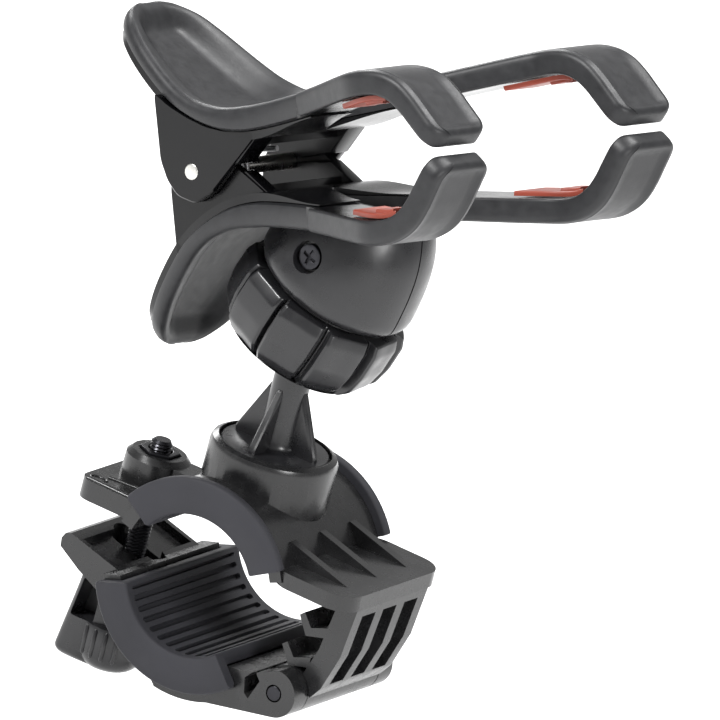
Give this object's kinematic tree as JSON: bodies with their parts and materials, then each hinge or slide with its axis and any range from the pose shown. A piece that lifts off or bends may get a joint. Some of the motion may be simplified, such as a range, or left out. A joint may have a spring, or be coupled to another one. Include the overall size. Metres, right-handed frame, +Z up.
{
  "type": "phone handlebar mount",
  "caption": "Phone holder for a handlebar: hinged clamp with rubber liners, ball joint with a ring nut, and a sprung clip with padded claws.",
  "frame": {"origin": "axis of the clamped handlebar, in the middle of the clamp's width", "axes": "+Y along the handlebar, +X towards the clamp's hinge, +Z up towards the ball and clip"},
  "size_m": [0.1204, 0.0907, 0.1705],
  "materials": {
    "jaw_plastic": "charcoal glass-filled nylon, satin",
    "shell_plastic": "charcoal plastic, smooth satin",
    "liner_rubber": "dark grey rubber, dull",
    "soft_touch": "dark grey soft-touch skin",
    "gloss_black": "black plastic, glossy",
    "red_silicone": "brick red silicone, dull",
    "black_zinc": "steel, blackened",
    "bright_steel": "bright steel",
    "spring_steel": "spring wire, grey"
  },
  "bodies": {
    "clamp_top": {"upper_jaw": "jaw_plastic", "upper_liner": "liner_rubber", "hex_nut": "black_zinc", "stem_screw": "black_zinc", "hinge_pin": "black_zinc"},
    "clamp_lower": {"lower_jaw": "jaw_plastic", "lower_liner": "liner_rubber"},
    "knob_carrier": {"knob_washer": "black_zinc"},
    "knob": {"clamp_knob": "shell_plastic", "clamp_bolt": "black_zinc"},
    "stem": {"ball_stem": "shell_plastic"},
    "ball_cup": {"upper_ball_cup": "liner_rubber"},
    "head": {"lower_ball_ring": "liner_rubber", "socket_shell_near": "shell_plastic", "socket_shell_far": "shell_plastic", "socket_screw": "black_zinc", "clip_lower_body": "gloss_black", "paddle_cover_lower": "soft_touch", "sleeve_lower_near": "soft_touch", "sleeve_lower_far": "soft_touch", "grip_lower_near": "red_silicone", "grip_lower_far": "red_silicone", "pivot_pin": "bright_steel", "torsion_spring": "spring_steel"},
    "socket_nut": {"ring_nut": "shell_plastic"},
    "clip_upper": {"clip_upper_body": "gloss_black", "paddle_cover_upper": "soft_touch", "sleeve_upper_near": "soft_touch", "sleeve_upper_far": "soft_touch", "grip_upper_near": "red_silicone", "grip_upper_far": "red_silicone"}
  },
  "joints": [
    {"name": "knob_travel", "type": "slide", "parent": "clamp_top", "child": "knob_carrier", "axis": [0, 0, -1], "range_m": [0, 0.005]},
    {"name": "knob_turn", "type": "hinge", "parent": "knob_carrier", "child": "knob", "pos_m": [-0.0274, 0, 0], "axis": [0, 0, -1], "range_deg": [0, 2260]},
    {"name": "jaw_swing", "type": "hinge", "parent": "clamp_top", "child": "clamp_lower", "pos_m": [0.0255, 0, -0.0158], "axis": [0, -1, 0], "range_deg": [0, 4.9]},
    {"name": "stem_swivel", "type": "hinge", "parent": "clamp_top", "child": "stem", "pos_m": [0, 0, 0.0575], "axis": [0, 0, 1], "continuous": true},
    {"name": "head_tilt", "type": "hinge", "parent": "stem", "child": "ball_cup", "pos_m": [0, 0, 0.0575], "axis": [-0.0663, 0.9978, 0], "range_deg": [-18, 12]},
    {"name": "head_spin", "type": "hinge", "parent": "ball_cup", "child": "head", "pos_m": [0, 0, 0.0575], "axis": [0.3183, 0.0211, 0.9478], "range_deg": [-90, 90]},
    {"name": "ring_nut_turn", "type": "hinge", "parent": "head", "child": "socket_nut", "pos_m": [0, 0, 0.0575], "axis": [0.3183, 0.0211, 0.9478], "range_deg": [-90, 90]},
    {"name": "clip_open", "type": "hinge", "parent": "head", "child": "clip_upper", "pos_m": [-0.02624, 0.00466, 0.08467], "axis": [-0.1137, -0.9917, 0.0603], "range_deg": [0, 40], "stiffness_Nm_per_rad": 0.8, "springref_deg": -28.65}
  ],
  "couplings": [
    {"joint": "knob_turn", "follows": "knob_travel", "rad_per_m": 7854},
    {"joint": "jaw_swing", "follows": "knob_travel", "rad_per_m": 16.667}
  ]
}
